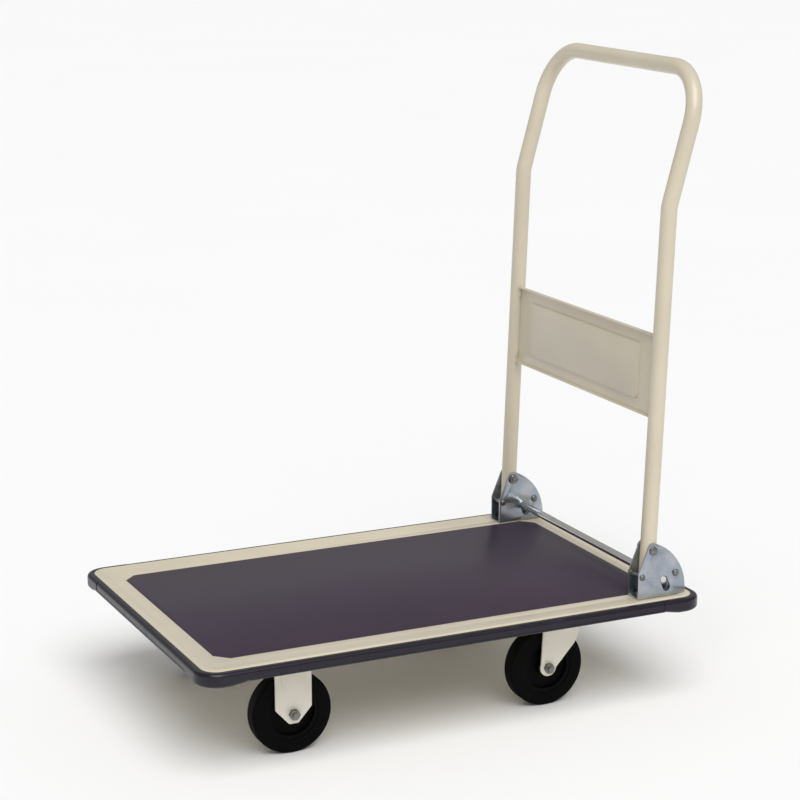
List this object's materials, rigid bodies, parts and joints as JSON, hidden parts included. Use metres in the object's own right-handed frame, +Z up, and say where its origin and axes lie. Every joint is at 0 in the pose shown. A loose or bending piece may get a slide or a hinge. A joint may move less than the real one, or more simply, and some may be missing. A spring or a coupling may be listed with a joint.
{
  "type": "folding platform cart",
  "caption": "Folding platform cart: a flat matted steel deck with a bumper edge on fixed and swivel casters, and a bent-tube push handle that folds flat over the deck.",
  "frame": {"origin": "on the floor, at the middle of the whole cart seen from above", "axes": "+X towards the handle end, +Y to the right of a person pushing from behind the handle, +Z up"},
  "size_m": [0.7536, 0.492, 0.8848],
  "materials": {
    "deck_paint": "smooth cream enamel, satin",
    "handle_paint": "smooth cream enamel, semi-gloss",
    "frame_paint": "cream enamel, satin, thin under the deck",
    "fork_paint": "pale cream enamel, satin",
    "mat_vinyl": "fine-grained vinyl, matt",
    "bumper_vinyl": "soft vinyl, semi-gloss",
    "zinc_plate": "bright zinc plate",
    "rod_chrome": "polished chrome plate",
    "fastener_steel": "zinc-plated steel",
    "spring_steel": "oiled spring wire",
    "wheel_rubber": "solid black rubber",
    "core_plastic": "moulded black plastic",
    "plug_plastic": "moulded black plastic"
  },
  "bodies": {
    "deck": {"bracket_bolts": "fastener_steel", "bracket_nuts": "fastener_steel", "bumper_front": "bumper_vinyl", "bumper_left": "bumper_vinyl", "bumper_rear": "bumper_vinyl", "bumper_right": "bumper_vinyl", "caster_bolts": "fastener_steel", "caster_nuts": "fastener_steel", "corner_guard_front_left": "bumper_vinyl", "corner_guard_front_right": "bumper_vinyl", "corner_guard_rear_left": "bumper_vinyl", "corner_guard_rear_right": "bumper_vinyl", "cross_channel_front": "frame_paint", "cross_channel_rear": "frame_paint", "deck_mat": "mat_vinyl", "deck_pan": "deck_paint", "deck_rail_left": "frame_paint", "deck_rail_right": "frame_paint", "fixed_axle_bolts": "fastener_steel", "fixed_axle_nuts": "fastener_steel", "fixed_fork_left": "fork_paint", "fixed_fork_right": "fork_paint", "hinge_bracket_left": "zinc_plate", "hinge_bracket_right": "zinc_plate", "lock_spring_left": "spring_steel", "lock_spring_right": "spring_steel", "pivot_bolts": "fastener_steel", "pivot_nuts": "fastener_steel", "spring_pins": "fastener_steel", "stop_pins": "fastener_steel", "swivel_balls": "fastener_steel", "swivel_kingpins": "fastener_steel", "swivel_plate_left": "fork_paint", "swivel_plate_right": "fork_paint"},
    "handle": {"handle_tube": "handle_paint", "handle_panel": "handle_paint", "pivot_bushes": "fastener_steel", "leg_plugs": "plug_plastic"},
    "lock_rod": {"lock_rod": "rod_chrome", "rod_clips": "fastener_steel"},
    "swivel_left": {"swivel_fork_left": "fork_paint", "swivel_ring_left": "fastener_steel", "swivel_axle_bolt_left": "fastener_steel", "swivel_axle_nut_left": "fastener_steel"},
    "wheel_front_left": {"tyre_front_left": "wheel_rubber", "wheel_core_front_left": "core_plastic", "wheel_bush_front_left": "fastener_steel"},
    "wheel_rear_left": {"tyre_rear_left": "wheel_rubber", "wheel_core_rear_left": "core_plastic", "wheel_bush_rear_left": "fastener_steel"},
    "swivel_right": {"swivel_fork_right": "fork_paint", "swivel_ring_right": "fastener_steel", "swivel_axle_bolt_right": "fastener_steel", "swivel_axle_nut_right": "fastener_steel"},
    "wheel_front_right": {"tyre_front_right": "wheel_rubber", "wheel_core_front_right": "core_plastic", "wheel_bush_front_right": "fastener_steel"},
    "wheel_rear_right": {"tyre_rear_right": "wheel_rubber", "wheel_core_rear_right": "core_plastic", "wheel_bush_rear_right": "fastener_steel"}
  },
  "joints": [
    {"name": "handle_fold", "type": "hinge", "parent": "deck", "child": "handle", "pos_m": [0.29513, 0, 0.2206], "axis": [0, -1, 0], "range_deg": [0, 99]},
    {"name": "lock_rod_press", "type": "slide", "parent": "deck", "child": "lock_rod", "axis": [0.3811, 0, -0.9245], "range_m": [0, 0.012], "stiffness_N_per_m": 900, "springref_m": -0.009, "deforming": ["lock_spring_left", "lock_spring_right"]},
    {"name": "swivel_left", "type": "hinge", "parent": "deck", "child": "swivel_left", "pos_m": [0.18473, -0.155, 0.12], "axis": [0, 0, 1], "continuous": true},
    {"name": "front_wheel_left", "type": "hinge", "parent": "deck", "child": "wheel_front_left", "pos_m": [-0.22528, -0.163, 0.056], "axis": [0, 1, 0], "continuous": true},
    {"name": "rear_wheel_left", "type": "hinge", "parent": "swivel_left", "child": "wheel_rear_left", "pos_m": [0.15973, -0.155, 0.056], "axis": [0, 1, 0], "continuous": true},
    {"name": "swivel_right", "type": "hinge", "parent": "deck", "child": "swivel_right", "pos_m": [0.18473, 0.155, 0.12], "axis": [0, 0, 1], "continuous": true},
    {"name": "front_wheel_right", "type": "hinge", "parent": "deck", "child": "wheel_front_right", "pos_m": [-0.22528, 0.163, 0.056], "axis": [0, 1, 0], "continuous": true},
    {"name": "rear_wheel_right", "type": "hinge", "parent": "swivel_right", "child": "wheel_rear_right", "pos_m": [0.15973, 0.155, 0.056], "axis": [0, 1, 0], "continuous": true}
  ]
}
